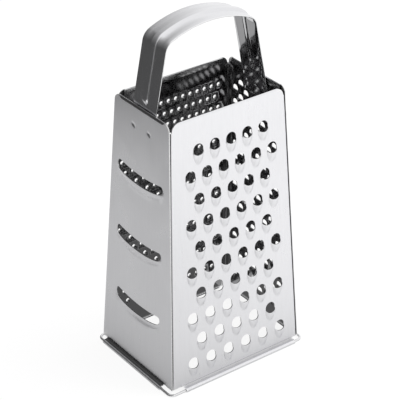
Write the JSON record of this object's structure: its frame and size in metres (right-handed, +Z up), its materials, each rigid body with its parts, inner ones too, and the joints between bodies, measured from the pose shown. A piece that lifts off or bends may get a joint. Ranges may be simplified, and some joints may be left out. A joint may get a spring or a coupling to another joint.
{
  "type": "box grater",
  "caption": "Four-sided sheet steel kitchen grater with tapered walls, coarse, medium, fine and slicing faces, a wired base rim and a strap handle.",
  "frame": {"origin": "on the table, under the middle of the body's base rim", "axes": "+Z up towards the handle, X across the wide coarse and fine walls, Y through the narrow way; the coarse wall faces -Y, the slicing wall -X, the medium wall +X and the fine wall +Y"},
  "size_m": [0.1074, 0.083, 0.2317],
  "materials": {
    "wall_steel": "satin",
    "handle_steel": "satin, brushed along the strap",
    "wire_steel": "smooth drawn wire"
  },
  "bodies": {
    "root": {"coarse_panel": "wall_steel", "slicer_panel": "wall_steel", "fine_panel": "wall_steel", "medium_panel": "wall_steel", "base_wire": "wire_steel", "handle": "handle_steel"}
  },
  "joints": []
}
